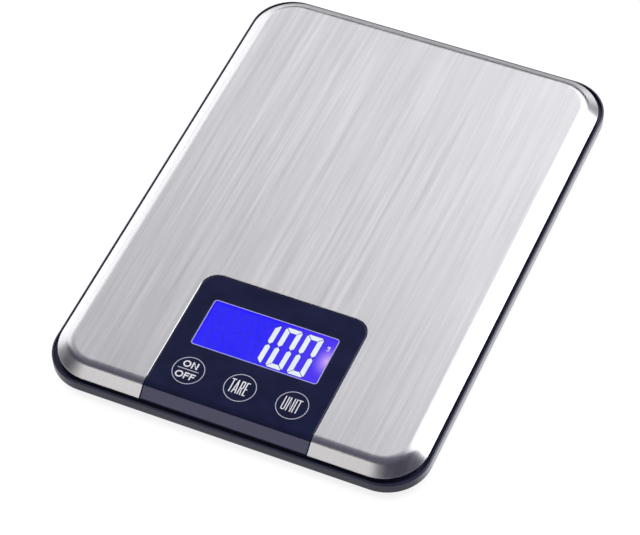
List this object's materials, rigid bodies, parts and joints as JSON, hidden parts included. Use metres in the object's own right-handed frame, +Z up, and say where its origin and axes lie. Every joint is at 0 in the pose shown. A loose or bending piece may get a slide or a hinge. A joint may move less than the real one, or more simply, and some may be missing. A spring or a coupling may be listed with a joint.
{
  "type": "digital kitchen scale",
  "caption": "Slim digital kitchen scale with a brushed steel platform, a dark glossy control panel with a blue backlit display, sprung corner feet and a battery bay underneath.",
  "frame": {"origin": "on the table, under the centre of the scale", "axes": "+X to the right along the front edge, +Y from the front to the back, +Z up"},
  "size_m": [0.1676, 0.231, 0.018],
  "materials": {
    "brushed_steel": "brushed along the length, satin",
    "adhesive_film": "matte",
    "housing_plastic": "dark grey ABS, semi-gloss",
    "panel_plastic": "dark navy, high gloss",
    "window_clear": "polished",
    "lcd_blue": "blue backlit display, polished",
    "light_guide": "milky acrylic",
    "led_body": "satin",
    "contact_rubber": "matte",
    "circuit_board": "solder mask, satin",
    "component_black": "matte epoxy",
    "spring_brass": "gold plated wire",
    "nickel_plate": "nickel plated",
    "zinc_screw": "zinc plated",
    "cell_steel": "milled alloy steel",
    "gauge_coating": "silicone coating",
    "lead_sleeve": "PVC insulation",
    "foot_rubber": "matte",
    "battery_sleeve": "printed sleeve, satin"
  },
  "bodies": {
    "scale": {"platform_pan": "brushed_steel", "platform_adhesive": "adhesive_film", "platform_carrier": "housing_plastic", "control_panel": "panel_plastic", "display_window": "window_clear", "lcd_glass": "lcd_blue", "lcd_backlight": "light_guide", "backlight_led": "led_body", "lcd_connector": "contact_rubber", "main_board": "circuit_board", "board_components": "component_black", "touch_springs": "spring_brass", "board_screws": "zinc_screw", "base_tray": "housing_plastic", "housing_screws": "zinc_screw", "load_cell_front_left": "cell_steel", "load_cell_front_right": "cell_steel", "load_cell_rear_left": "cell_steel", "load_cell_rear_right": "cell_steel", "strain_gauges": "gauge_coating", "sensor_leads": "lead_sleeve", "battery_leads": "lead_sleeve", "battery_cells": "battery_sleeve", "battery_springs": "nickel_plate", "battery_plates": "nickel_plate"},
    "foot_front_left": {"foot_cup_front_left": "housing_plastic", "foot_pad_front_left": "foot_rubber"},
    "foot_front_right": {"foot_cup_front_right": "housing_plastic", "foot_pad_front_right": "foot_rubber"},
    "foot_rear_left": {"foot_cup_rear_left": "housing_plastic", "foot_pad_rear_left": "foot_rubber"},
    "foot_rear_right": {"foot_cup_rear_right": "housing_plastic", "foot_pad_rear_right": "foot_rubber"},
    "battery_door": {"battery_door": "housing_plastic"}
  },
  "joints": [
    {"name": "foot_front_left_slide", "type": "slide", "parent": "scale", "child": "foot_front_left", "axis": [0, 0, 1], "range_m": [0, 0.0003], "stiffness_N_per_m": 400},
    {"name": "foot_front_right_slide", "type": "slide", "parent": "scale", "child": "foot_front_right", "axis": [0, 0, 1], "range_m": [0, 0.0003], "stiffness_N_per_m": 400},
    {"name": "foot_rear_left_slide", "type": "slide", "parent": "scale", "child": "foot_rear_left", "axis": [0, 0, 1], "range_m": [0, 0.0003], "stiffness_N_per_m": 400},
    {"name": "foot_rear_right_slide", "type": "slide", "parent": "scale", "child": "foot_rear_right", "axis": [0, 0, 1], "range_m": [0, 0.0003], "stiffness_N_per_m": 400},
    {"name": "battery_door_hinge", "type": "hinge", "parent": "scale", "child": "battery_door", "pos_m": [0, 0.032, 0.003], "axis": [1, 0, 0], "range_deg": [0, 75]}
  ]
}
